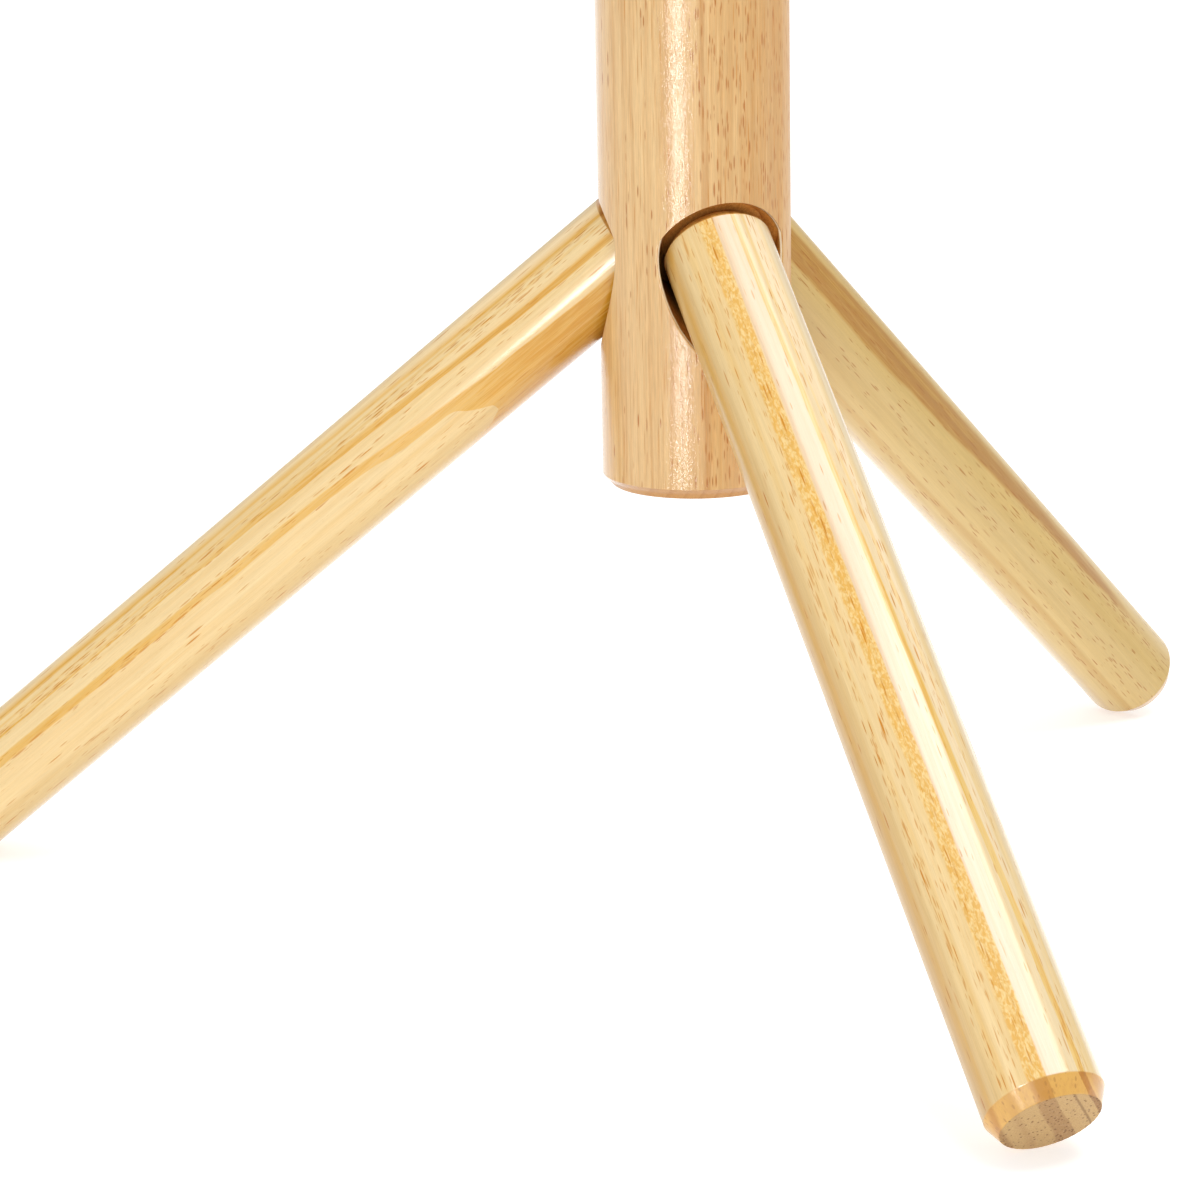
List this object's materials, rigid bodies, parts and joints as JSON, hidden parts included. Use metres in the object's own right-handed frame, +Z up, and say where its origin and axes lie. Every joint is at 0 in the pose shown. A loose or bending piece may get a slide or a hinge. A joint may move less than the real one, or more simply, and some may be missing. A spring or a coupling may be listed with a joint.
{
  "type": "wooden tripod stand base",
  "caption": "Knock-down wooden stand base: a round upright column on splayed round dowel legs that screw into slanted sockets, with a threaded stud on top.",
  "frame": {"origin": "centre of the column's top end face, at the foot of the threaded stud, on the column's axis", "axes": "+Z up along the column's axis; the front leg points towards -Y, the other two towards +X+Y and -X+Y"},
  "size_m": [0.3868, 0.3387, 0.4789],
  "materials": {
    "beech": "clear satin lacquer over steamed beech with fine dark flecks",
    "pale_dowel": "clear gloss lacquer over pale, stripy softwood",
    "zinc_plated_steel": "bright zinc plate"
  },
  "bodies": {
    "column": {"column": "beech", "leg_insert_front": "zinc_plated_steel", "leg_insert_right": "zinc_plated_steel", "leg_insert_left": "zinc_plated_steel", "top_insert": "zinc_plated_steel", "top_stud": "zinc_plated_steel"},
    "leg_front_thread": {"leg_washer_front": "zinc_plated_steel"},
    "leg_front": {"leg_front": "pale_dowel", "leg_bolt_front": "zinc_plated_steel"},
    "leg_right_thread": {"leg_washer_right": "zinc_plated_steel"},
    "leg_right": {"leg_right": "pale_dowel", "leg_bolt_right": "zinc_plated_steel"},
    "leg_left_thread": {"leg_washer_left": "zinc_plated_steel"},
    "leg_left": {"leg_left": "pale_dowel", "leg_bolt_left": "zinc_plated_steel"}
  },
  "joints": [
    {"name": "leg_front_draw", "type": "slide", "parent": "column", "child": "leg_front_thread", "axis": [0, -0.766, -0.6428], "range_m": [0, 0.0076]},
    {"name": "leg_front_turn", "type": "hinge", "parent": "leg_front_thread", "child": "leg_front", "pos_m": [0, 0, -0.273], "axis": [0, -0.766, -0.6428], "range_deg": [0, 2160]},
    {"name": "leg_right_draw", "type": "slide", "parent": "column", "child": "leg_right_thread", "axis": [0.6634, 0.383, -0.6428], "range_m": [0, 0.0076]},
    {"name": "leg_right_turn", "type": "hinge", "parent": "leg_right_thread", "child": "leg_right", "pos_m": [0, 0, -0.273], "axis": [0.6634, 0.383, -0.6428], "range_deg": [0, 2160]},
    {"name": "leg_left_draw", "type": "slide", "parent": "column", "child": "leg_left_thread", "axis": [-0.6634, 0.383, -0.6428], "range_m": [0, 0.0076]},
    {"name": "leg_left_turn", "type": "hinge", "parent": "leg_left_thread", "child": "leg_left", "pos_m": [0, 0, -0.273], "axis": [-0.6634, 0.383, -0.6428], "range_deg": [0, 2160]}
  ],
  "couplings": [
    {"joint": "leg_front_draw", "follows": "leg_front_turn", "m_per_rad": 0.00019894},
    {"joint": "leg_right_draw", "follows": "leg_right_turn", "m_per_rad": 0.00019894},
    {"joint": "leg_left_draw", "follows": "leg_left_turn", "m_per_rad": 0.00019894}
  ]
}
